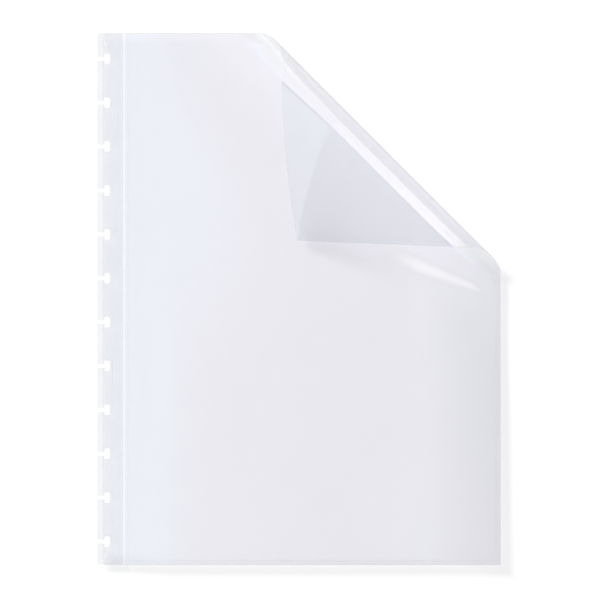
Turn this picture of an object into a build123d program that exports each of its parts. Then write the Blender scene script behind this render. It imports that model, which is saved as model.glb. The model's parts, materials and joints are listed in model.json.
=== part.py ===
from build123d import *
import math
import os

# A clear sheet protector for a disc-bound notebook, lying face up with its top right corner rolled
# over the front. Millimetres. X runs from the binding edge to the fore edge, Y from the foot to the
# open mouth, Z up from the surface that the page lies on. The origin is under the middle of the page.

# Page
page_width = 233.2
page_height = 307.8
film = 0.12               # thickness of each film of the pocket
weld_film = 0.10          # thickness of the welds, which is the room between the two films

# Binding margin
strip_width = 14.0        # from the binding edge to the line that the page turns on
strip_ply = 0.20
reinforcing_ply = 0.12
reinforcing_setback = 2.8  # bare lower ply along the binding edge
strip_corner = 1.0

# Mushroom punches for the discs
punch_pitch = 25.4
punch_count = 12
neck_width = 2.0
punch_drop = 0.7          # the row stands a little nearer to the foot than to the mouth
neck_length = 4.1
head_width = 6.0
head_depth = 3.2
head_crown = 1.3          # radius of the head's two inner corners
head_heel = 0.4           # radius of the two corners beside the neck

# Welds
bead_rise = 0.02          # height of the turning line over the thicker of margin and pocket
bead_gap = 0.10           # between the margin and the bead
land_width = 1.6          # flat beside the bead, which the films are welded to
land_rise = 0.10
inner_line_offset = 1.2   # from the land to the second line of the spine weld
line_width = 0.9          # width of each weld line between the films
edge_inset = 2.0          # film left outside the foot and fore edge lines

# Turned corner
turned_depth = 108.4      # from the corner square to the line where the page starts to lift
fold_angle = 45.0         # between the roll and the top edge
roll_radius = 13.3        # outside of the roll
roll_facets = 24          # in the half turn from the page to the crest
slope_facets = 4          # from the crest to the straight flap
crest_gap = 0.10          # between page and corner, at the crest
tip_rest = 0.35           # room under the tip of the corner

pocket_thickness = 2 * film + weld_film
strip_thickness = strip_ply + reinforcing_ply
left, right = -page_width / 2, page_width / 2
foot, mouth = -page_height / 2, page_height / 2

# Turning line of the page: the middle of the bead
bead_radius = max(pocket_thickness, strip_thickness) + bead_rise
turn_x = left + strip_width + bead_gap + bead_radius
film_left = turn_x + land_width

# Depth of each layer from the back of the page, which is the outside of the roll
rear_layer = (0.0, film)
weld_layer = (film, film + weld_film)
front_layer = (film + weld_film, pocket_thickness)

# Directions of the turned corner: along the roll, and across it towards the corner
fold_turn = math.radians(fold_angle)
along_dir = Vector(math.cos(fold_turn), -math.sin(fold_turn), 0)
across_dir = Vector(math.sin(fold_turn), math.cos(fold_turn), 0)
up = Vector(0, 0, 1)
lift_foot = Vector(right, mouth, 0) - across_dir * turned_depth
crest_run = math.pi * roll_radius


def tip_height(slope):
    # Height of the underside of the tip when the flap slopes down by this angle.
    straight = turned_depth - roll_radius * (math.pi + slope)
    top = roll_radius * (1 + math.cos(slope)) - straight * math.sin(slope)
    return top - pocket_thickness * math.cos(slope)


def resting_slope():
    # The flap slopes down from the crest until its tip rests just over the page.
    low, high = 0.0, math.pi / 3
    for _ in range(60):
        middle = (low + high) / 2
        if tip_height(middle) > pocket_thickness + tip_rest:
            low = middle
        else:
            high = middle
    return low


flap_slope = resting_slope()
flap_turn = math.pi + flap_slope
flap_run = roll_radius * flap_turn
flap_length = turned_depth - flap_run


def on_sheet(run, along, depth):
    # A point of the page by its place on the flat sheet: run is the way past the lift line,
    # along is the way along the roll, and depth is measured from the back of the page.
    turn = min(max(run / roll_radius, 0.0), flap_turn)
    beyond = run - turn * roll_radius
    radius = roll_radius - depth
    across = radius * math.sin(turn) + beyond * math.cos(turn)
    height = roll_radius - radius * math.cos(turn) + beyond * math.sin(turn)
    return lift_foot + along_dir * along + across_dir * across + up * height


def top_end(run):
    # Where the top edge of the page crosses the ruling at this run.
    return -(turned_depth - run) / math.tan(fold_turn)


def side_end(run, inset=0.0):
    # Where the fore edge, or a line inset from it, crosses the ruling at this run.
    return (turned_depth - run) * math.tan(fold_turn) - inset / math.cos(fold_turn)


def plate(points, layer):
    # A flat piece of film with this outline, at the layer's height on the page.
    face = make_face(Polyline(*points, close=True))
    return Pos(0, 0, layer[0]) * extrude(face, amount=layer[1] - layer[0])


def ruling_section(run, start, end, layer):
    corners = [
        on_sheet(run, start, layer[0]),
        on_sheet(run, end, layer[0]),
        on_sheet(run, end, layer[1]),
        on_sheet(run, start, layer[1]),
    ]
    return make_face(Polyline(*corners, close=True))


def bent_band(first_run, last_run, facets, start_of, end_of, layer):
    # A stretch of the roll, ruled from one straight line of the film to the next.
    step = (last_run - first_run) / facets
    runs = [first_run + step * i for i in range(facets + 1)]
    sections = [ruling_section(run, start_of(run), end_of(run), layer) for run in runs]
    return loft(sections, ruled=True)


def flap_plate(points, layer):
    # A flat piece of the flap. Points are (along, run) on the flat sheet.
    corners = [on_sheet(run, along, layer[0]) for along, run in points]
    face = make_face(Polyline(*corners, close=True))
    inward = on_sheet(flap_run, 0, layer[1]) - on_sheet(flap_run, 0, layer[0])
    return extrude(face, amount=inward.length, dir=inward)


def lift_point(along):
    # Where the lift line passes on the flat page, as an outline point.
    point = on_sheet(0, along, 0)
    return (point.X, point.Y)


def punch():
    # One mushroom punch: a neck from the binding edge and a crowned head, centred on its neck.
    neck = Pos(neck_length / 2, 0) * Rectangle(neck_length, neck_width)
    head = Pos(neck_length + head_depth / 2, 0) * Rectangle(head_depth, head_width)
    crown = head.vertices().group_by(Axis.X)[-1]
    head = fillet(crown, head_crown)
    heel = head.vertices().group_by(Axis.X)[0]
    return neck + fillet(heel, head_heel)


def margin_ply(setback, bottom, thickness):
    # One ply of the punched margin, set back from the binding edge.
    width = strip_width - setback
    outline = Pos(left + setback + width / 2, 0) * Rectangle(width, page_height)
    outer_corners = outline.vertices().group_by(Axis.X)[0]
    outline = fillet(outer_corners, strip_corner)
    first = -punch_drop - (punch_count - 1) / 2 * punch_pitch
    row = [Pos(left, first + i * punch_pitch) for i in range(punch_count)]
    outline -= [place * punch() for place in row]
    return Pos(0, 0, bottom) * extrude(outline, amount=thickness)


def pocket_film(layer):
    # One film of the pocket, from the spine weld to the crest of the roll.
    panel = plate(
        [
            (film_left, foot),
            (right, foot),
            lift_point(side_end(0)),
            lift_point(top_end(0)),
            (film_left, mouth),
        ],
        layer,
    )
    return panel + bent_band(0, crest_run - crest_gap / 2, roll_facets, top_end, side_end, layer)


def corner_film(layer):
    # The same film from the crest to the tip of the turned corner.
    bend = bent_band(crest_run + crest_gap / 2, flap_run, slope_facets, top_end, side_end, layer)
    flap = flap_plate(
        [
            (top_end(flap_run), flap_run),
            (side_end(flap_run), flap_run),
            (0, turned_depth),
        ],
        layer,
    )
    return bend + flap


def line_start(run):
    # Inner side of the fore edge line.
    return side_end(run, edge_inset + line_width)


def line_end(run):
    # Outer side of the fore edge line.
    return side_end(run, edge_inset)


def spine_weld():
    # A round bead on the turning line, the land beside it, and a second line between the films.
    bead = Pos(turn_x, bead_radius) * Circle(bead_radius)
    land_height = pocket_thickness + land_rise
    land = Pos(turn_x + land_width / 2, land_height / 2) * Rectangle(land_width, land_height)
    rail = extrude(Plane.XZ * (bead + land), amount=page_height / 2, both=True)
    line_left = film_left + inner_line_offset
    line_right = line_left + line_width
    inner = plate(
        [
            (line_left, foot + edge_inset + line_width),
            (line_right, foot + edge_inset + line_width),
            (line_right, mouth),
            (line_left, mouth),
        ],
        weld_layer,
    )
    return Compound(children=[rail.solid(), inner.solid()])


def foot_weld():
    # The line along the foot, mitred into the fore edge line.
    low = foot + edge_inset
    high = low + line_width
    outer = right - edge_inset
    return plate(
        [(film_left, low), (outer, low), (outer - line_width, high), (film_left, high)],
        weld_layer,
    )


def fore_edge_weld():
    # The line along the fore edge, up the page and round the roll to its crest.
    low = foot + edge_inset
    outer = right - edge_inset
    straight = plate(
        [
            (outer, low),
            lift_point(line_end(0)),
            lift_point(line_start(0)),
            (outer - line_width, low + line_width),
        ],
        weld_layer,
    )
    round_roll = bent_band(
        0, crest_run - crest_gap / 2, roll_facets, line_start, line_end, weld_layer
    )
    return straight + round_roll


def corner_weld():
    # The same line from the crest to the tip of the turned corner.
    bend = bent_band(
        crest_run + crest_gap / 2, flap_run, slope_facets, line_start, line_end, weld_layer
    )

    def tip_run(inset):
        # How far a line inset from the fore edge runs before it leaves by the top edge.
        return turned_depth - inset * math.sin(fold_turn)

    outer_tip = tip_run(edge_inset)
    inner_tip = tip_run(edge_inset + line_width)
    flap = flap_plate(
        [
            (line_start(flap_run), flap_run),
            (line_end(flap_run), flap_run),
            (top_end(outer_tip), outer_tip),
            (top_end(inner_tip), inner_tip),
        ],
        weld_layer,
    )
    return bend + flap


pieces = {
    "binding_strip": margin_ply(0.0, 0.0, strip_ply),
    "reinforcing_strip": margin_ply(reinforcing_setback, strip_ply, reinforcing_ply),
    "spine_weld": spine_weld(),
    "rear_film": pocket_film(rear_layer),
    "front_film": pocket_film(front_layer),
    "foot_weld": foot_weld(),
    "fore_edge_weld": fore_edge_weld(),
    "rear_film_corner": corner_film(rear_layer),
    "front_film_corner": corner_film(front_layer),
    "corner_weld": corner_weld(),
}

os.makedirs("parts", exist_ok=True)
for name, piece in pieces.items():
    export_step(piece, f"parts/{name}.step")

crest = on_sheet(crest_run, 0, 0)
print(f"page turns at x {turn_x:.3f}, z {bead_radius:.3f}")
print(f"corner turns at {crest.X:.3f}, {crest.Y:.3f}, {crest.Z:.3f}")
print(f"flap slope {math.degrees(flap_slope):.2f} degrees, straight for {flap_length:.2f}")
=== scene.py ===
import json
import math

import bmesh
import bpy
import numpy as np
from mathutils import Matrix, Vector


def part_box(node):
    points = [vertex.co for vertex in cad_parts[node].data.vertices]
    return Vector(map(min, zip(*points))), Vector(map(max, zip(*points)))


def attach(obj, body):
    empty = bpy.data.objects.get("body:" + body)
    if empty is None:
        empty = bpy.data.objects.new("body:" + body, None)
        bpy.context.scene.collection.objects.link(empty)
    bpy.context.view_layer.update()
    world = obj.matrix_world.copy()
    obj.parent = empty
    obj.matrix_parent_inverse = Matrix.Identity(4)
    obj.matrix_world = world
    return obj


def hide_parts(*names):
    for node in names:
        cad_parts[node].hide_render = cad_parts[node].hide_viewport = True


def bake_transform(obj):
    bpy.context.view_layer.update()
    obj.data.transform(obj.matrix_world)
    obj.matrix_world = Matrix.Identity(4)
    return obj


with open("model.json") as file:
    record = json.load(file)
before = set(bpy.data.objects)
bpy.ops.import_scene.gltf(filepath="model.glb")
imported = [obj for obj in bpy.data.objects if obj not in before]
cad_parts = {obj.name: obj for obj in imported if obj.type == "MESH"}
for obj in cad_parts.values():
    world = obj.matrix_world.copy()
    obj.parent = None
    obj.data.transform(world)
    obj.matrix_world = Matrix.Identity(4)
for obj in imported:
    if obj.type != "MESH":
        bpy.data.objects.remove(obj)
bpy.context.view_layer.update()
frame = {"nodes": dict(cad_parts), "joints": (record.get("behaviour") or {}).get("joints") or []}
nodes = frame["nodes"]
joints = {joint["name"]: joint for joint in frame["joints"]}
mm = 0.001
print("frame loaded:", len(nodes), "nodes")

# The page as the frame holds it: pocket edges, layers by depth from the back, and the roll
filmLow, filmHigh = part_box("front_film")
weldLow, weldHigh = (corner.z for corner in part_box("foot_weld"))
pocketThick = weldHigh + weldLow
rearLayer = (0.0, weldLow)
frontLayer = (weldHigh, pocketThick)
pageLeft, pageRight = filmLow.x, filmHigh.x
pageFoot, pageMouth = filmLow.y, filmHigh.y

crest = Vector(joints["corner_lift"]["pos_m"])
rollRadius = crest.z / 2
alongDir = -Vector(joints["corner_lift"]["axis"]).normalized()
acrossDir = Vector((-alongDir.y, alongDir.x, 0.0))
alongFlat = np.array(alongDir[:2])
acrossFlat = np.array(acrossDir[:2])
crestFlat = np.array(crest[:2])
turnedDepth = float((np.array((pageRight, pageMouth)) - crestFlat) @ acrossFlat)

sheetShape = {
    "tipRest": 0.35 * mm,     # room under the tip of the turned corner
    "gridStep": 3.0 * mm,     # mesh size on the flat page
    "closeStep": 1.5 * mm,    # near the roll
    "closeReach": 24 * mm,
    "rollStep": 0.8 * mm,     # and round it
    "flapStep": 1.0 * mm,
    "alongStep": 2.4 * mm,
    "flapAlong": 1.2 * mm,
    "overlap": 1.0 * mm,      # of the grid past the outline, and of its fine rows past the crest
    "tipShift": 1.84 * mm,    # the corner is not rolled quite square, so its tip stands off
    "tipPower": 1.5,
    "mouthShift": 2.5 * mm,   # and its side at the mouth spreads
    "mouthReach": 34 * mm,
    "mouthFade": (-6 * mm, 3 * mm),
    "mouthPower": 3,
    "flare": 1.1 * mm,        # the crest flattens at the fore edge
    "flareReach": 9 * mm,
    "crestBend": 1.2 * mm,    # radius of the crest, from the roll to the flap
    "crestStep": 0.15 * mm,
    "squareReach": (1 * mm, 24 * mm),     # at its ends the roll bends up later and sharper
    "squareFrom": 0.60,
    "squarePower": 1.6,
    "squareBend": 10.0,
    "sharpAngle": 40.0,
    "trimRoom": 1e-7, "joinRoom": 2e-6,
}


def restingSlope():
    # slope of the flap at which its tip just rests over the page
    low, high = 0.0, math.pi / 3
    bend = sheetShape["crestBend"]
    for _ in range(60):
        slope = (low + high) / 2
        straight = turnedDepth - rollRadius * math.pi - bend * slope
        top = 2 * rollRadius - bend * (1 - math.cos(slope)) - straight * math.sin(slope)
        if top - pocketThick * math.cos(slope) > pocketThick + sheetShape["tipRest"]:
            low = slope
        else:
            high = slope
    return low


flapSlope = restingSlope()
crestRun = rollRadius * math.pi
flapRun = crestRun + sheetShape["crestBend"] * flapSlope
seamRun = rollRadius * math.pi / 2       # page piece below, flap piece above


def runOf(flat):
    return (flat - crestFlat) @ acrossFlat


def alongOf(flat):
    return (flat - crestFlat) @ alongFlat


def smooth(low, high, value):
    share = np.clip((value - low) / (high - low), 0.0, 1.0)
    return share * share * (3 - 2 * share)


def nearEnd(flat):
    away = np.minimum(pageRight - flat[:, 0], pageMouth - flat[:, 1])
    return 1 - smooth(*sheetShape["squareReach"], away)


def squareReach(turn):
    bend = sheetShape["squareBend"]
    return turn / (1 + turn ** bend) ** (1 / bend)


def squareRise(turn):
    first = sheetShape["squareFrom"]
    share = np.clip((turn - first) / (math.pi / 2 - first), 0.0, 1.0)
    return share ** sheetShape["squarePower"]


def onSheet(flat, depth):
    # where a point of the flat sheet lies on the page as it is rolled
    run, along = runOf(flat), alongOf(flat)
    bend = sheetShape["crestBend"]
    turn = np.clip(run / rollRadius, 0.0, math.pi)
    turn = turn + np.clip((run - crestRun) / bend, 0.0, flapSlope)
    beyond = np.minimum(run, 0.0) + np.maximum(run - flapRun, 0.0)
    flare = sheetShape["flare"] * np.exp((flat[:, 0] - pageRight) / sheetShape["flareReach"])
    flare = flare * np.sin(2 * np.clip(turn, math.pi / 2, math.pi)) ** 2
    middle = np.where(run > crestRun, 2 * rollRadius - bend, rollRadius)
    radius = np.where(run > crestRun, bend, rollRadius) - depth + flare
    across = radius * np.sin(turn) + beyond * np.cos(turn)
    height = middle - radius * np.cos(turn) + beyond * np.sin(turn)
    square = rollRadius * nearEnd(flat)
    lower = np.clip(turn, 0.0, math.pi / 2)
    across += square * (squareReach(lower) / squareReach(math.pi / 2) - np.sin(lower))
    height += square * (squareRise(lower) - 1 + np.cos(lower))
    past = np.clip((run - crestRun) / (turnedDepth - crestRun), 0.0, 1.0)
    nearMouth = 1 - smooth(0.0, sheetShape["mouthReach"], pageMouth - flat[:, 1])
    spread = nearMouth * smooth(*sheetShape["mouthFade"], run - crestRun)
    spread = sheetShape["mouthShift"] * spread * (1 - past ** sheetShape["mouthPower"])
    height -= spread * math.tan(flapSlope) * smooth(crestRun, flapRun, run)
    shift = sheetShape["tipShift"] * past ** sheetShape["tipPower"] - spread
    along, across = along + shift, across + shift
    plan = crestFlat + np.outer(along, alongFlat) + np.outer(across, acrossFlat)
    return np.column_stack((plan, height))


# How the film lies: it swells a little, curls at its free edges and creases beside the roll
pageWave = {
    "foreCurl": 0.6 * mm, "foreReach": 45 * mm,
    "footCurl": 0.6 * mm, "footReach": 45 * mm,
    "swell": 0.25 * mm,
    "swellSize": (92 * mm, 131 * mm),
    "swellTurn": (2.0, 3.1),  # of the broad waves and of the slanting one
    "swellStart": (0.9, -0.5),
    "slantShare": 0.5,
    "swellBase": 1.5,
    "boundReach": 25 * mm,    # the spine holds the film down
    "floorRoom": 0.30 * mm,
    "rollFade": 95 * mm,
    "airGap": 0.25 * mm,      # most room between the two films
    "gapReach": 30 * mm,
}
streak = {
    "start": (108.0 * mm, 4.2 * mm),
    "end": (51.5 * mm, 25.4 * mm),
    "slope": 0.050,
    "width": (2.5 * mm, 8.2 * mm),
    "widest": 1.4,
    "fadeIn": (-0.06, 0.16), "fadeOut": (0.65, 1.25),     # shares of its length
    "rollFade": (-6 * mm, 4 * mm),
}
flapCrease = {
    "top": -30.8 * mm,        # along the crest
    "bend": 0.07,
    "soft": 0.25 * mm,
    "fade": (-20.5 * mm, -3.5 * mm),  # the mouth end of the roll sags with it
}


def pageLift(flat):
    # extra height of both films, towards the front
    x, y = flat[:, 0], flat[:, 1]
    away = smooth(0.0, pageWave["rollFade"], -runOf(flat))
    bound = smooth(0.0, pageWave["boundReach"], x - pageLeft)
    sizeX, sizeY = pageWave["swellSize"]
    startX, startY = pageWave["swellStart"]
    broad, slant = pageWave["swellTurn"]
    swell = np.sin(x / sizeX * broad + startX) * np.sin(y / sizeY * broad + startY)
    swell = swell + pageWave["slantShare"] * np.sin((x + y) / sizeX * slant)
    fore = np.clip((x - pageRight) / pageWave["foreReach"] + 1, 0, 1) ** 2
    foot = np.clip((pageFoot - y) / pageWave["footReach"] + 1, 0, 1) ** 2
    lift = pageWave["swell"] * (swell + pageWave["swellBase"]) * bound
    lift = lift + pageWave["foreCurl"] * fore + pageWave["footCurl"] * foot * bound
    lift = lift * away

    start, end = np.array(streak["start"]), np.array(streak["end"])
    reach = np.linalg.norm(end - start)
    way = (end - start) / reach
    square = np.array((way[1], -way[0]))
    t = (flat - start) @ way / reach
    s = (flat - start) @ square
    thin, wide = streak["width"]
    width = thin + (wide - thin) * np.clip(t, 0, streak["widest"])
    q = s / width
    alive = smooth(*streak["fadeIn"], t) * (1 - smooth(*streak["fadeOut"], t))
    flatSide = smooth(*streak["rollFade"], -runOf(flat))
    lift += -streak["slope"] * width * q * np.exp(-q * q / 2) * alive * flatSide
    return lift + pageWave["floorRoom"] * away


def flapLift(flat):
    # the turned corner droops a little beside the mouth, past a soft crease
    run, along = runOf(flat), alongOf(flat)
    top = np.array((flapCrease["top"], crestRun))
    tip = np.array((0.0, turnedDepth))
    way = (tip - top) / np.linalg.norm(tip - top)
    side = (run - top[1]) * way[0] - (along - top[0]) * way[1]
    soft = flapCrease["soft"]
    past = soft * np.logaddexp(0.0, side / soft)
    return flapCrease["bend"] * past * smooth(*flapCrease["fade"], run - crestRun)


def airGap(flat):
    # room that the front film takes from the rear one: none at the welds, most at the mouth
    x, y = flat[:, 0], flat[:, 1]
    reach = pageWave["gapReach"]
    inside = smooth(0, reach, x - pageLeft) * smooth(0, reach, pageRight - x)
    inside = inside * smooth(0, reach, y - pageFoot)
    return pageWave["airGap"] * inside * smooth(0.0, pageWave["rollFade"], -runOf(flat))


def steps(low, high, size):
    return list(np.linspace(low, high, max(1, round((high - low) / size)) + 1))


def flatCut(runs, alongs, low, high):
    # a flat grid that follows the roll, trimmed to the piece's own rectangle
    bm = bmesh.new()
    rows = []
    for run in runs:
        spots = [crestFlat + acrossFlat * run + alongFlat * along for along in alongs]
        rows.append([bm.verts.new((spot[0], spot[1], 0.0)) for spot in spots])
    for lower, upper in zip(rows, rows[1:]):
        for i in range(len(alongs) - 1):
            bm.faces.new((lower[i], lower[i + 1], upper[i + 1], upper[i]))
    trims = (((low[0], 0, 0), (-1, 0, 0)), ((high[0], 0, 0), (1, 0, 0)),
             ((0, low[1], 0), (0, -1, 0)), ((0, high[1], 0), (0, 1, 0)))
    for point, outward in trims:
        everything = bm.verts[:] + bm.edges[:] + bm.faces[:]
        bmesh.ops.bisect_plane(bm, geom=everything, dist=sheetShape["trimRoom"], plane_co=point,
                               plane_no=outward, clear_outer=True)
    bmesh.ops.remove_doubles(bm, verts=bm.verts[:], dist=sheetShape["joinRoom"])
    bmesh.ops.recalc_face_normals(bm, faces=bm.faces[:])
    if bm.faces and sum(face.normal.z for face in bm.faces) < 0:
        bmesh.ops.reverse_faces(bm, faces=bm.faces[:])
    bm.verts.index_update()
    flat = np.array([vert.co[:2] for vert in bm.verts])
    faces = [[vert.index for vert in face.verts] for face in bm.faces]
    rim = []
    for edge in bm.edges:
        if edge.is_boundary:
            loop = edge.link_loops[0]
            rim.append((loop.vert.index, loop.link_loop_next.vert.index))
    bm.free()
    return flat, faces, rim


def closedSheet(name, cut, lowDepth, highDepth, material):
    # both faces of a film and the wall round its rim
    flat, faces, rim = cut
    count = len(flat)
    points = np.vstack((onSheet(flat, lowDepth), onSheet(flat, highDepth)))
    skin = [list(reversed(face)) for face in faces]
    skin += [[index + count for index in face] for face in faces]
    skin += [[a, b, b + count, a + count] for a, b in rim]
    mesh = bpy.data.meshes.new(name)
    mesh.from_pydata(points.tolist(), [], skin)
    mesh.shade_smooth()
    mesh.set_sharp_from_angle(angle=math.radians(sheetShape["sharpAngle"]))
    mesh.materials.append(material)
    place = mesh.attributes.new("flatPlace", "FLOAT_VECTOR", "POINT")
    onFlat = np.column_stack((flat, np.zeros(count)))
    place.data.foreach_set("vector", np.vstack((onFlat, onFlat)).ravel())
    mesh.update()
    piece = bpy.data.objects.new(name, mesh)
    bpy.context.scene.collection.objects.link(piece)
    return piece


# Shader helpers
def addNode(tree, kind, **values):
    node = tree.nodes.new(kind)
    for name, value in values.items():
        if name in node.inputs:
            node.inputs[name].default_value = value
        else:
            setattr(node, name, value)
    return node


def mathNode(tree, operation, *values):
    node = addNode(tree, "ShaderNodeMath", operation=operation)
    for socket, value in zip(node.inputs, values):
        if isinstance(value, bpy.types.NodeSocket):
            tree.links.new(value, socket)
        else:
            socket.default_value = value
    return node.outputs[0]


def fadeNode(tree, value, low, high):
    node = addNode(tree, "ShaderNodeMapRange", interpolation_type="SMOOTHSTEP")
    node.inputs["From Min"].default_value = low
    node.inputs["From Max"].default_value = high
    tree.links.new(value, node.inputs["Value"])
    return node.outputs["Result"]


def axesOf(tree, kind):
    place = addNode(tree, "ShaderNodeTexCoord")
    split = addNode(tree, "ShaderNodeSeparateXYZ")
    tree.links.new(place.outputs[kind], split.inputs["Vector"])
    return split.outputs


def fillRamp(ramp, stops):
    marks = ramp.color_ramp.elements
    marks[0].position, marks[0].color = stops[0][0], (*stops[0][1], 1.0)
    marks[1].position, marks[1].color = stops[-1][0], (*stops[-1][1], 1.0)
    for spot, color in stops[1:-1]:
        marks.new(spot).color = (*color, 1.0)


grainShape = {
    "drawn": (620.0, 5.0, 620.0),         # lines along the film
    "scuff": (900.0, 26.0, 900.0), "scuffTurn": 0.6, "scuffFrom": 0.68, "scuffTo": 0.80,
    "fine": 260.0, "fineShare": 0.12, "broad": 38.0,
    "gloss": (0.5, 0.5),                  # share of the clouding, and what it adds to
}


def filmGrainGroup():
    # clouding, drawn lines and fine ripple that all the films share
    tree = bpy.data.node_groups.new("filmGrain", "ShaderNodeTree")
    face = tree.interface
    for name, value in (("Cloud Size", 0.05), ("Line Strength", 0.3), ("Scuff Strength", 0.4)):
        socket = face.new_socket(name=name, in_out="INPUT", socket_type="NodeSocketFloat")
        socket.default_value = value
    for name in ("Haze", "Gloss", "Ripple"):
        face.new_socket(name=name, in_out="OUTPUT", socket_type="NodeSocketFloat")
    given = addNode(tree, "NodeGroupInput")
    put = addNode(tree, "NodeGroupOutput")
    place = addNode(tree, "ShaderNodeTexCoord")

    cloud = addNode(tree, "ShaderNodeTexNoise", Detail=3.0, Roughness=0.45)
    tree.links.new(place.outputs["Object"], cloud.inputs["Vector"])
    cloudScale = mathNode(tree, "DIVIDE", 1.0, given.outputs["Cloud Size"])
    tree.links.new(cloudScale, cloud.inputs["Scale"])

    drawn = addNode(tree, "ShaderNodeMapping")
    drawn.inputs["Scale"].default_value = grainShape["drawn"]
    tree.links.new(place.outputs["Object"], drawn.inputs["Vector"])
    lines = addNode(tree, "ShaderNodeTexNoise", Scale=1.0, Detail=2.0)
    tree.links.new(drawn.outputs["Vector"], lines.inputs["Vector"])

    scuffTurn = addNode(tree, "ShaderNodeMapping")
    scuffTurn.inputs["Rotation"].default_value = (0.0, 0.0, grainShape["scuffTurn"])
    scuffTurn.inputs["Scale"].default_value = grainShape["scuff"]
    tree.links.new(place.outputs["Object"], scuffTurn.inputs["Vector"])
    scuffs = addNode(tree, "ShaderNodeTexNoise", Scale=1.0, Detail=1.0)
    tree.links.new(scuffTurn.outputs["Vector"], scuffs.inputs["Vector"])
    scuffMask = addNode(tree, "ShaderNodeMapRange")
    scuffMask.inputs["From Min"].default_value = grainShape["scuffFrom"]
    scuffMask.inputs["From Max"].default_value = grainShape["scuffTo"]
    tree.links.new(scuffs.outputs["Fac"], scuffMask.inputs["Value"])

    fine = addNode(tree, "ShaderNodeTexNoise", Scale=grainShape["fine"], Detail=2.0)
    tree.links.new(place.outputs["Object"], fine.inputs["Vector"])
    broad = addNode(tree, "ShaderNodeTexNoise", Scale=grainShape["broad"], Detail=1.0)
    tree.links.new(place.outputs["Object"], broad.inputs["Vector"])

    drawnHaze = mathNode(tree, "MULTIPLY", lines.outputs["Fac"], given.outputs["Line Strength"])
    scuffHaze = mathNode(tree, "MULTIPLY", scuffMask.outputs["Result"],
                         given.outputs["Scuff Strength"])
    haze = mathNode(tree, "ADD", cloud.outputs["Fac"], drawnHaze)
    haze = mathNode(tree, "ADD", haze, scuffHaze)
    gloss = mathNode(tree, "MULTIPLY_ADD", cloud.outputs["Fac"], *grainShape["gloss"])
    gloss = mathNode(tree, "ADD", gloss, scuffHaze)
    ripple = mathNode(tree, "MULTIPLY", fine.outputs["Fac"], grainShape["fineShare"])
    ripple = mathNode(tree, "ADD", ripple, broad.outputs["Fac"])
    tree.links.new(haze, put.inputs["Haze"])
    tree.links.new(gloss, put.inputs["Gloss"])
    tree.links.new(ripple, put.inputs["Ripple"])
    return tree


filmGrain = filmGrainGroup()

filmShade = {
    "fore": 0.74, "foreReach": 70 * mm,       # shade that the film casts along its edges
    "foot": 0.64, "footReach": 16 * mm, "spineFoot": 0.85,
    "tip": 0.6, "tipReach": 42 * mm,
    "page": 0.18, "margin": 0.10,             # and elsewhere
    "rollStart": 8 * mm, "rollEnd": 18 * mm,
}
filmRim = {
    "width": 0.75 * mm,
    "haze": 0.08,
    "tint": (0.40, 0.41, 0.46),
}
filmBody = {
    "cloudShare": 0.5,        # of the cloudy scatter, beside what passes through
    "cloudRoughness": 0.55,
}


def flatPlaces(tree):
    place = addNode(tree, "ShaderNodeAttribute", attribute_name="flatPlace")
    split = addNode(tree, "ShaderNodeSeparateXYZ")
    tree.links.new(place.outputs["Vector"], split.inputs["Vector"])
    return place.outputs["Vector"], split.outputs["X"], split.outputs["Y"]


def edgeCast(tree):
    # film along the fore edge and the foot casts shade, the rest hardly any
    place, x, y = flatPlaces(tree)
    fore = fadeNode(tree, x, pageRight - filmShade["foreReach"], pageRight)
    foot = fadeNode(tree, y, pageFoot + filmShade["footReach"], pageFoot)
    across = addNode(tree, "ShaderNodeVectorMath", operation="DOT_PRODUCT")
    tree.links.new(place, across.inputs[0])
    across.inputs[1].default_value = acrossDir
    run = mathNode(tree, "SUBTRACT", across.outputs["Value"], float(crestFlat @ acrossFlat))
    lying = fadeNode(tree, run, filmShade["rollEnd"], filmShade["rollStart"])
    fore = mathNode(tree, "MULTIPLY", fore, filmShade["fore"])
    foot = mathNode(tree, "MULTIPLY", foot, filmShade["foot"])
    cast = mathNode(tree, "MAXIMUM", mathNode(tree, "MAXIMUM", fore, foot), filmShade["page"])
    cast = mathNode(tree, "MULTIPLY", cast, lying)
    tip = fadeNode(tree, run, turnedDepth - filmShade["tipReach"], turnedDepth)
    tip = mathNode(tree, "MULTIPLY", tip, filmShade["tip"])
    return mathNode(tree, "MAXIMUM", cast, tip)


def footCast(tree, most):
    # the same for the margin and the spine, which cast shade at their foot
    foot = fadeNode(tree, axesOf(tree, "Object")["Y"], pageFoot + filmShade["footReach"], pageFoot)
    return mathNode(tree, "MAXIMUM", mathNode(tree, "MULTIPLY", foot, most), filmShade["margin"])


def marginCast(tree):
    return footCast(tree, filmShade["foot"])


def spineCast(tree):
    return footCast(tree, filmShade["spineFoot"])


def rimLine(tree):
    # cut edges of the film: mouth, fore edge and foot
    _, x, y = flatPlaces(tree)
    width = filmRim["width"]
    mouth = fadeNode(tree, y, pageMouth - width, pageMouth)
    fore = fadeNode(tree, x, pageRight - width, pageRight)
    foot = fadeNode(tree, y, pageFoot + width, pageFoot)
    return mathNode(tree, "MAXIMUM", mathNode(tree, "MAXIMUM", mouth, fore), foot)


def bindingRim(tree):
    # cut edge of the margin
    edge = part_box("binding_strip")[0].x
    return fadeNode(tree, axesOf(tree, "Object")["X"], edge + filmRim["width"], edge)


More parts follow.
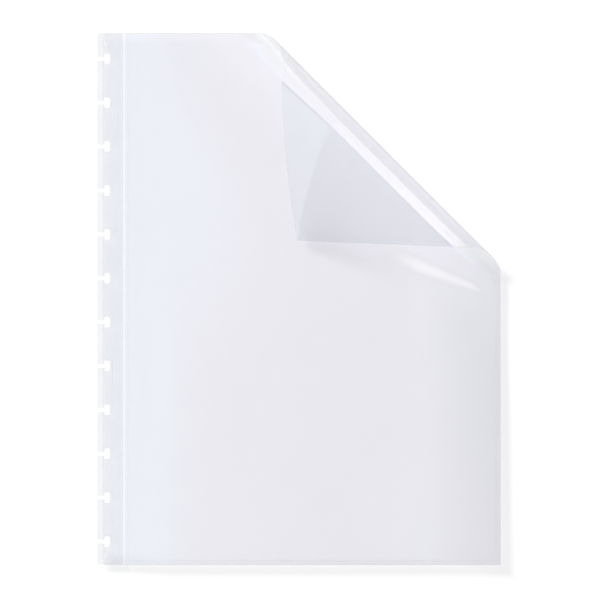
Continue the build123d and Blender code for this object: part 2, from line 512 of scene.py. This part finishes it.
def filmMaterial(name, look, rimOf=None, castOf=None):
    # clear film: what passes through, a little cloudy scatter, and what its faces mirror
    material = bpy.data.materials.new(name)
    material.use_nodes = True
    tree = material.node_tree
    tree.nodes.clear()
    grain = addNode(tree, "ShaderNodeGroup", node_tree=filmGrain)
    grain.inputs["Cloud Size"].default_value = look["cloudSize"]
    grain.inputs["Line Strength"].default_value = look["lines"]
    grain.inputs["Scuff Strength"].default_value = look["scuffs"]
    bump = addNode(tree, "ShaderNodeBump", Strength=1.0, Distance=look["ripple"])
    tree.links.new(grain.outputs["Ripple"], bump.inputs["Height"])

    facing = addNode(tree, "ShaderNodeNewGeometry")
    path = addNode(tree, "ShaderNodeLightPath")
    cast = castOf(tree) if castOf else look["cast"]
    lit = mathNode(tree, "SUBTRACT", 1.0, cast)
    lost = mathNode(tree, "MULTIPLY", lit, path.outputs["Is Shadow Ray"])
    solid = mathNode(tree, "SUBTRACT", 1.0, lost)
    front = mathNode(tree, "SUBTRACT", 1.0, facing.outputs["Backfacing"])
    solid = mathNode(tree, "MULTIPLY", solid, front)

    through = addNode(tree, "ShaderNodeBsdfTransparent", Color=(*look["tint"], 1.0))
    through.name = "through"
    cloudy = addNode(tree, "ShaderNodeBsdfPrincipled", Roughness=filmBody["cloudRoughness"])
    cloudy.inputs["Base Color"].default_value = (*look["cloudTint"], 1.0)
    tree.links.new(bump.outputs["Normal"], cloudy.inputs["Normal"])
    haze = mathNode(tree, "MULTIPLY", grain.outputs["Haze"], look["haze"])
    if rimOf:
        rim = rimOf(tree)
        haze = mathNode(tree, "ADD", haze, mathNode(tree, "MULTIPLY", rim, filmRim["haze"]))
        tone = addNode(tree, "ShaderNodeMix", data_type="RGBA")
        tree.links.new(rim, tone.inputs["Factor"])
        tone.inputs["A"].default_value = (*look["cloudTint"], 1.0)
        tone.inputs["B"].default_value = (*filmRim["tint"], 1.0)
        tree.links.new(tone.outputs["Result"], cloudy.inputs["Base Color"])
    tree.links.new(mathNode(tree, "MULTIPLY", haze, solid), cloudy.inputs["Alpha"])
    body = addNode(tree, "ShaderNodeMixShader", Fac=filmBody["cloudShare"])
    tree.links.new(through.outputs["BSDF"], body.inputs[1])
    tree.links.new(cloudy.outputs["BSDF"], body.inputs[2])

    fresnel = addNode(tree, "ShaderNodeFresnel", IOR=look["mirrorIor"])
    tree.links.new(bump.outputs["Normal"], fresnel.inputs["Normal"])
    mirror = addNode(tree, "ShaderNodeBsdfPrincipled", Metallic=1.0)
    mirror.inputs["Base Color"].default_value = (*look["mirrorTint"], 1.0)
    tree.links.new(bump.outputs["Normal"], mirror.inputs["Normal"])
    rough = mathNode(tree, "MULTIPLY", grain.outputs["Gloss"], look["roughness"])
    tree.links.new(rough, mirror.inputs["Roughness"])
    whole = addNode(tree, "ShaderNodeMixShader")
    tree.links.new(mathNode(tree, "MULTIPLY", fresnel.outputs["Fac"], solid), whole.inputs["Fac"])
    tree.links.new(body.outputs["Shader"], whole.inputs[1])
    tree.links.new(mirror.outputs["BSDF"], whole.inputs[2])
    out = addNode(tree, "ShaderNodeOutputMaterial")
    tree.links.new(whole.outputs["Shader"], out.inputs["Surface"])
    return material


clearFilmLook = {
    "tint": (0.986, 0.986, 0.996), "mirrorTint": (1.0, 0.975, 0.985),
    "cloudTint": (0.70, 0.75, 0.90),
    "mirrorIor": 1.98, "roughness": 0.10, "haze": 0.08,
    "cloudSize": 0.06, "lines": 0.25, "scuffs": 0.25, "ripple": 0.02 * mm,
}
bindingFilmLook = {
    "tint": (0.972, 0.978, 0.985), "mirrorTint": (0.88, 0.80, 0.80),
    "cloudTint": (0.58, 0.60, 0.66),
    "mirrorIor": 1.98, "roughness": 0.14, "haze": 0.22,
    "cloudSize": 0.03, "lines": 0.35, "scuffs": 0.4, "ripple": 0.02 * mm,
}
reinforcingFilmLook = {
    "tint": (0.980, 0.989, 0.998), "mirrorTint": (0.88, 0.80, 0.80),
    "cloudTint": (0.66, 0.72, 0.82),
    "mirrorIor": 1.82, "roughness": 0.14, "haze": 0.10,
    "cloudSize": 0.03, "lines": 0.35, "scuffs": 0.4, "ripple": 0.02 * mm,
}
weldLook = {
    "tint": (0.99, 0.993, 1.0), "mirrorTint": (1.0, 1.0, 1.0),
    "cloudTint": (0.88, 0.92, 0.98),
    "mirrorIor": 1.3, "roughness": 0.2, "haze": 0.05,
    "cloudSize": 0.008, "lines": 0.2, "scuffs": 0.1, "ripple": 0.03 * mm,
    "cast": 0.10,
}
# painted shade: the bead gets a darker tint than the land beside it and the clear film past it
beadShadeLook = {
    "ends": (-0.40 * mm, 2.4 * mm),       # across the bead and the land, from the turning line
    "stops": ((0.0, (0.80, 0.83, 0.86)), (0.22, (0.80, 0.83, 0.86)),
              (0.36, (0.92, 0.945, 0.985)), (0.68, (0.92, 0.945, 0.985)),
              (0.78, (1.0, 1.0, 1.0))),
}


def paintBeadShade(material):
    # the bead's darker tint is painted shade, standing in for the shade and refraction in the round
    # bead; the land beside it shows lighter
    tree = material.node_tree
    turnX = joints["page_turn"]["pos_m"][0]
    share = addNode(tree, "ShaderNodeMapRange")
    share.inputs["From Min"].default_value = turnX + beadShadeLook["ends"][0]
    share.inputs["From Max"].default_value = turnX + beadShadeLook["ends"][1]
    tree.links.new(axesOf(tree, "Object")["X"], share.inputs["Value"])
    ramp = addNode(tree, "ShaderNodeValToRGB")
    fillRamp(ramp, beadShadeLook["stops"])
    tree.links.new(share.outputs["Result"], ramp.inputs["Fac"])
    tree.links.new(ramp.outputs["Color"], tree.nodes["through"].inputs["Color"])


clearFilm = filmMaterial("clearFilm", clearFilmLook, rimLine, edgeCast)
bindingFilm = filmMaterial("bindingFilm", bindingFilmLook, bindingRim, marginCast)
reinforcingFilm = filmMaterial("reinforcingFilm", reinforcingFilmLook, None, marginCast)
fusedWeld = filmMaterial("fusedWeld", weldLook)
spineBead = filmMaterial("spineBead", weldLook, None, spineCast)
paintBeadShade(spineBead)
print("materials made")


# Films of the pocket and of the turned corner
alongReach = float(np.hypot(pageRight - pageLeft, pageMouth - pageFoot))
alongs = steps(-alongReach, alongReach, sheetShape["alongStep"])
firstRun = float(runOf(np.array([[pageLeft, pageFoot]]))[0])
overlap, closeRun = sheetShape["overlap"], -sheetShape["closeReach"]
pageRuns = steps(firstRun - overlap, closeRun, sheetShape["gridStep"])
pageRuns += steps(closeRun, 0.0, sheetShape["closeStep"])[1:]
pageRuns += steps(0.0, seamRun, sheetShape["rollStep"])[1:]
flapRuns = steps(seamRun, crestRun - overlap, sheetShape["rollStep"])
flapRuns += steps(crestRun - overlap, flapRun + overlap, sheetShape["crestStep"])[1:]
flapRuns += steps(flapRun + overlap, turnedDepth + overlap, sheetShape["flapStep"])[1:]
pageCut = flatCut(pageRuns, alongs, (pageLeft, pageFoot), (pageRight, pageMouth))
flapAlongs = steps(-turnedDepth, turnedDepth, sheetShape["flapAlong"])
flapCut = flatCut(flapRuns, flapAlongs, (pageLeft, pageFoot), (pageRight, pageMouth))


def hangOnCorner(piece):
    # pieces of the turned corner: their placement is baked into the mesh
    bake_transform(piece)


filmLayers = {"rear_film": rearLayer, "front_film": frontLayer}
for node, (low, high) in filmLayers.items():
    flat = pageCut[0]
    lift = pageLift(flat)
    if node == "front_film":
        lift = lift + airGap(flat)
    page = closedSheet(node + "_page", pageCut, low + lift, high + lift, clearFilm)
    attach(page, "pocket")
    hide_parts(node)
    droop = flapLift(flapCut[0])
    flap = closedSheet(node + "_flap", flapCut, low + droop, high + droop, clearFilm)
    hangOnCorner(flap)
    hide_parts(node + "_corner")
print("films made:", len(pageCut[0]), "and", len(flapCut[0]), "points a face")


# Weld lines between the films: pressed ribbons with the fine ribs of the sealing bar
weldLine = {
    "proud": 0.05 * mm,
    "across": 6,
    "step": 0.6 * mm,
    "ribPitch": 1.5 * mm,
    "ribDepth": 0.02 * mm,
}


def weldRibbon(name, start, end, width, lift):
    start, end = np.array(start), np.array(end)
    length = np.linalg.norm(end - start)
    way = (end - start) / length
    square = np.array((-way[1], way[0]))
    places = steps(0.0, length, weldLine["step"])
    shares = np.linspace(-1.0, 1.0, weldLine["across"] + 1)
    flat = np.array([start + way * s + square * w * width / 2 for s in places for w in shares])
    columns = len(shares)
    faces = []
    for i in range(len(places) - 1):
        for j in range(columns - 1):
            a = i * columns + j
            faces.append([a, a + columns, a + columns + 1, a + 1])
    rim = [(i * columns, (i + 1) * columns) for i in range(len(places) - 1)]
    last = (len(places) - 1) * columns
    rim += [(last + j, last + j + 1) for j in range(columns - 1)]
    far = columns - 1
    rim += [((i + 1) * columns + far, i * columns + far) for i in reversed(range(len(places) - 1))]
    rim += [(j + 1, j) for j in reversed(range(columns - 1))]
    crown = np.tile(1 - shares ** 2, len(places))
    ribs = np.repeat(np.cos(np.array(places) * 2 * math.pi / weldLine["ribPitch"]), columns)
    rise = (weldLine["proud"] + weldLine["ribDepth"] * ribs) * crown
    raised = lift(flat)
    cut = (flat, faces, rim)
    piece = closedSheet(name, cut, raised, raised + pocketThick + rise, fusedWeld)
    return piece


footLow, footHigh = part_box("foot_weld")
lineWidth = footHigh.y - footLow.y
footMiddle = (footLow.y + footHigh.y) / 2
foreMiddle = footHigh.x - lineWidth / 2
seamY = crestFlat[1] + (seamRun / acrossFlat[1] - (foreMiddle - crestFlat[0]))

footStart, footEnd = (pageLeft, footMiddle), (foreMiddle, footMiddle)
footSeal = weldRibbon("foot_seal", footStart, footEnd, lineWidth, pageLift)
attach(footSeal, "pocket")
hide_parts("foot_weld")
foreStart, foreSeam, foreEnd = (foreMiddle, footLow.y), (foreMiddle, seamY), (foreMiddle, pageMouth)
foreSeal = weldRibbon("fore_edge_seal", foreStart, foreSeam, lineWidth, pageLift)
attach(foreSeal, "pocket")
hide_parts("fore_edge_weld")
cornerSeal = weldRibbon("corner_seal", foreSeam, foreEnd, lineWidth, flapLift)
hangOnCorner(cornerSeal)
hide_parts("corner_weld")
print("weld lines made")


def dress(node, material):
    mesh = nodes[node].data
    mesh.materials.clear()
    mesh.materials.append(material)


dress("binding_strip", bindingFilm)
dress("reinforcing_strip", reinforcingFilm)
dress("spine_weld", spineBead)


# Floor, light and camera
studio = {
    "floorDrop": 3.0 * mm,
    "floorSize": 14.0, "floorSides": 96,
    "floorColor": (0.85, 0.85, 0.85),
    "floorGlow": 0.35,
    "floorMirrored": (0.36, 0.83),      # its level in reflections, under the page and past the roll
    "floorFade": 0.03,
    "sunStrength": 4.7, "sunSpread": 18.0, "sunFrom": (-0.62, 0.60, 0.43),
    "ambient": 0.13,
    "horizon": (0.30, 0.75, 0.80),      # heights between which it fades, and its level
    "horizonLow": (0.0, 0.5, 0.75),     # it is dimmer towards the lower left
    "lowLeft": (-0.05, 0.15, 0.43),     # what the flap mirrors
    "lowLeftFloor": (0.05, 0.20),       # heights between which it starts
    "farLeft": (0.545, 0.58, 0.33),     # and what its bent side mirrors
    "farLeftFloor": (0.46, 0.54),
    "lowLeftTint": (0.86, 1.0, 0.94),
    "tintFade": (0.0, 0.3),
}


def makeFloor():
    mesh = bpy.data.meshes.new("floor")
    bm = bmesh.new()
    bmesh.ops.create_circle(bm, cap_ends=True, segments=studio["floorSides"],
                            radius=studio["floorSize"])
    bm.to_mesh(mesh)
    bm.free()
    floor = bpy.data.objects.new("floor", mesh)
    floor.location.z = -studio["floorDrop"]
    bpy.context.scene.collection.objects.link(floor)
    material = bpy.data.materials.new("paleFloor")
    material.use_nodes = True
    material.cycles.emission_sampling = "NONE"
    tree = material.node_tree
    tree.nodes.clear()
    path = addNode(tree, "ShaderNodeLightPath")
    seen = mathNode(tree, "MAXIMUM", path.outputs["Is Camera Ray"],
                    path.outputs["Is Transmission Ray"])
    matte = addNode(tree, "ShaderNodeBsdfDiffuse", Color=(*studio["floorColor"], 1.0))
    glow = addNode(tree, "ShaderNodeEmission")
    tree.links.new(mathNode(tree, "MULTIPLY", seen, studio["floorGlow"]), glow.inputs["Strength"])
    both = addNode(tree, "ShaderNodeAddShader")
    tree.links.new(matte.outputs["BSDF"], both.inputs[0])
    tree.links.new(glow.outputs["Emission"], both.inputs[1])
    place = addNode(tree, "ShaderNodeTexCoord")
    across = addNode(tree, "ShaderNodeVectorMath", operation="DOT_PRODUCT")
    across.inputs[1].default_value = acrossDir
    tree.links.new(place.outputs["Object"], across.inputs[0])
    rollPlace = float(crestFlat @ acrossFlat)
    past = fadeNode(tree, across.outputs["Value"], rollPlace - studio["floorFade"], rollPlace)
    under, beyond = studio["floorMirrored"]
    level = mathNode(tree, "MULTIPLY_ADD", past, beyond - under, under)
    dim = addNode(tree, "ShaderNodeEmission")
    tree.links.new(level, dim.inputs["Strength"])
    whole = addNode(tree, "ShaderNodeMixShader")
    tree.links.new(path.outputs["Is Glossy Ray"], whole.inputs["Fac"])
    tree.links.new(both.outputs["Shader"], whole.inputs[1])
    tree.links.new(dim.outputs["Emission"], whole.inputs[2])
    out = addNode(tree, "ShaderNodeOutputMaterial")
    tree.links.new(whole.outputs["Shader"], out.inputs["Surface"])
    mesh.materials.append(material)


def makeSky():
    # white to the camera, dark overhead for what the film mirrors, plain ambient otherwise
    world = bpy.data.worlds.new("studioSky")
    bpy.context.scene.world = world
    world.use_nodes = True
    world.cycles.sampling_method = "NONE"      # an even glow, with nothing to aim at
    tree = world.node_tree
    tree.nodes.clear()
    path = addNode(tree, "ShaderNodeLightPath")
    axes = axesOf(tree, "Generated")
    leftward = mathNode(tree, "MULTIPLY", axes["X"], -1.0)
    diagonal = mathNode(tree, "ADD", axes["X"], axes["Y"])
    diagonal = mathNode(tree, "MULTIPLY", diagonal, -math.sqrt(0.5))
    fadeLow, fadeHigh, level = studio["horizon"]
    horizon = mathNode(tree, "MULTIPLY", fadeNode(tree, axes["Z"], fadeHigh, fadeLow), level)
    fadeLow, fadeHigh, level = studio["horizonLow"]
    lessened = mathNode(tree, "MULTIPLY", fadeNode(tree, diagonal, fadeLow, fadeHigh), level)
    horizon = mathNode(tree, "MULTIPLY", horizon, mathNode(tree, "SUBTRACT", 1.0, lessened))
    fadeLow, fadeHigh, level = studio["lowLeft"]
    lowLeft = mathNode(tree, "MULTIPLY", fadeNode(tree, diagonal, fadeLow, fadeHigh), level)
    raised = fadeNode(tree, axes["Z"], *studio["lowLeftFloor"])
    lowLeft = mathNode(tree, "MULTIPLY", lowLeft, raised)
    fadeLow, fadeHigh, level = studio["farLeft"]
    farLeft = mathNode(tree, "MULTIPLY", fadeNode(tree, leftward, fadeLow, fadeHigh), level)
    raised = fadeNode(tree, axes["Z"], *studio["farLeftFloor"])
    farLeft = mathNode(tree, "MULTIPLY", farLeft, raised)
    side = mathNode(tree, "ADD", lowLeft, farLeft)
    mirrored = mathNode(tree, "MAXIMUM", horizon, side)
    mirrored = mathNode(tree, "MULTIPLY", mirrored, path.outputs["Is Glossy Ray"])
    other = mathNode(tree, "SUBTRACT", 1.0, path.outputs["Is Glossy Ray"])
    ambient = mathNode(tree, "MULTIPLY", other, studio["ambient"])
    level = mathNode(tree, "ADD", mirrored, ambient)
    level = mathNode(tree, "MAXIMUM", level, path.outputs["Is Camera Ray"])
    sky = addNode(tree, "ShaderNodeBackground")
    tree.links.new(level, sky.inputs["Strength"])
    tone = addNode(tree, "ShaderNodeMix", data_type="RGBA")
    cool = fadeNode(tree, diagonal, *studio["tintFade"])
    cool = mathNode(tree, "MULTIPLY", cool, path.outputs["Is Glossy Ray"])
    tree.links.new(cool, tone.inputs["Factor"])
    tone.inputs["A"].default_value = (1.0, 1.0, 1.0, 1.0)
    tone.inputs["B"].default_value = (*studio["lowLeftTint"], 1.0)
    tree.links.new(tone.outputs["Result"], sky.inputs["Color"])
    out = addNode(tree, "ShaderNodeOutputWorld")
    tree.links.new(sky.outputs["Background"], out.inputs["Surface"])


def aimed(lamp, spot, target):
    lamp.location = spot
    lamp.rotation_euler = (Vector(target) - Vector(spot)).to_track_quat("-Z", "Y").to_euler()
    bpy.context.scene.collection.objects.link(lamp)


def makeSun():
    light = bpy.data.lights.new("keySun", "SUN")
    light.energy = studio["sunStrength"]
    light.angle = math.radians(studio["sunSpread"])
    lamp = bpy.data.objects.new("keySun", light)
    aimed(lamp, studio["sunFrom"], (0, 0, 0))
    lamp.visible_glossy = False


# Cards that only reflections show: a soft box over the upper right, which the crest of the roll
# mirrors as a bright band, and a pale wash overhead, brighter to the left
softBox = {
    "height": 1.0,
    "near": 0.03, "ramp": 0.14,           # from the crest, across the roll
    "far": 2.2, "fade": 0.9,
    "width": 2.4,
    "color": (1.06, 1.0, 0.98),
    "dim": 0.62,
    "radiance": (1.05, 1.46),             # at the mouth and at the fore edge
    "turnover": 0.12,                     # half of the way between the two
}
wash = {
    "height": 1.3,
    "size": (1.0, 1.0),
    "lean": (0.97, -0.22),                        # the way it darkens
    "topLean": 0.55, "topStart": 0.08,            # and sooner beside the mouth
    "stops": ((-0.22, (0.36, 0.37, 0.40)), (-0.135, (0.42, 0.50, 0.67)),
              (-0.066, (0.42, 0.50, 0.67)), (-0.034, (0.35, 0.31, 0.42)),
              (0.0, (0.28, 0.22, 0.32)), (0.06, (0.21, 0.16, 0.24)),
              (0.10, (0.22, 0.25, 0.29)), (0.15, (0.15, 0.21, 0.26))),
}


def makeCard(name, wide, deep, spot, turn):
    mesh = bpy.data.meshes.new(name)
    x, y = wide / 2, deep / 2
    mesh.from_pydata([(-x, -y, 0), (-x, y, 0), (x, y, 0), (x, -y, 0)], [], [(0, 1, 2, 3)])
    card = bpy.data.objects.new(name, mesh)
    card.location = spot
    card.rotation_euler.z = turn
    bpy.context.scene.collection.objects.link(card)
    card.visible_camera = False
    card.visible_diffuse = False
    card.visible_transmission = False
    card.visible_shadow = False
    material = bpy.data.materials.new(name + "Glow")
    material.use_nodes = True
    material.cycles.emission_sampling = "NONE"     # only mirrored, never a lamp
    mesh.materials.append(material)
    tree = material.node_tree
    tree.nodes.clear()
    glow = addNode(tree, "ShaderNodeEmission")
    out = addNode(tree, "ShaderNodeOutputMaterial")
    tree.links.new(glow.outputs["Emission"], out.inputs["Surface"])
    return tree, axesOf(tree, "Object"), glow


def makeSoftBox():
    deep = softBox["far"] - softBox["near"]
    middle = crest + acrossDir * (softBox["near"] + deep / 2)
    spot = (middle.x, middle.y, softBox["height"])
    turn = math.atan2(alongDir.y, alongDir.x)
    tree, axes, glow = makeCard("softBox", softBox["width"], deep, spot, turn)
    edge = -deep / 2
    ramp = fadeNode(tree, axes["Y"], edge, edge + softBox["ramp"])
    fade = fadeNode(tree, axes["Y"], -edge, -edge - softBox["fade"])
    level = mathNode(tree, "MULTIPLY", ramp, fade)
    dimmer, brighter = softBox["radiance"]
    share = fadeNode(tree, axes["X"], -softBox["turnover"], softBox["turnover"])
    radiance = mathNode(tree, "MULTIPLY_ADD", share, brighter - dimmer, dimmer)
    level = mathNode(tree, "MULTIPLY", level, radiance)
    level = mathNode(tree, "MAXIMUM", level, mathNode(tree, "MULTIPLY", ramp, softBox["dim"]))
    tree.links.new(level, glow.inputs["Strength"])
    glow.inputs["Color"].default_value = (*softBox["color"], 1.0)


def makeWash():
    tree, axes, glow = makeCard("wash", *wash["size"], (0, 0, wash["height"]), 0.0)
    leanX, leanY = wash["lean"]
    toRight = mathNode(tree, "MULTIPLY", axes["X"], leanX)
    toMouth = mathNode(tree, "MULTIPLY", axes["Y"], leanY)
    reach = wash["height"] / camera["distance"] + 1          # the card stands nearer to the camera
    top = mathNode(tree, "SUBTRACT", axes["Y"], wash["topStart"] * reach)
    top = mathNode(tree, "MULTIPLY", mathNode(tree, "MAXIMUM", top, 0.0), wash["topLean"])
    way = mathNode(tree, "ADD", mathNode(tree, "ADD", toRight, toMouth), top)
    first, last = wash["stops"][0][0] * reach, wash["stops"][-1][0] * reach
    share = addNode(tree, "ShaderNodeMapRange")
    share.inputs["From Min"].default_value = first
    share.inputs["From Max"].default_value = last
    tree.links.new(way, share.inputs["Value"])
    ramp = addNode(tree, "ShaderNodeValToRGB")
    ramp.color_ramp.interpolation = "EASE"
    stops = [((spot * reach - first) / (last - first), color) for spot, color in wash["stops"]]
    fillRamp(ramp, stops)
    tree.links.new(share.outputs["Result"], ramp.inputs["Fac"])
    tree.links.new(ramp.outputs["Color"], glow.inputs["Color"])


camera = {
    "distance": 4.0,
    "fieldWidth": 347.2 * mm,
    "centre": (0.6 * mm, -0.6 * mm),
    "sensor": 36.0,
    "clipEnd": 100.0,
}


def makeCamera():
    data = bpy.data.cameras.new("camera")
    data.sensor_width = camera["sensor"]
    data.lens = camera["sensor"] * camera["distance"] / camera["fieldWidth"]
    data.clip_end = camera["clipEnd"]
    eye = bpy.data.objects.new("camera", data)
    eye.location = (*camera["centre"], camera["distance"])
    bpy.context.scene.collection.objects.link(eye)
    bpy.context.scene.camera = eye


makeFloor()
makeSky()
makeSun()
makeSoftBox()
makeWash()
makeCamera()
scene = bpy.context.scene
scene.view_settings.view_transform = "Standard"
scene.cycles.transparent_max_bounces = 64      # many thin films lie over each other
print("stage made")
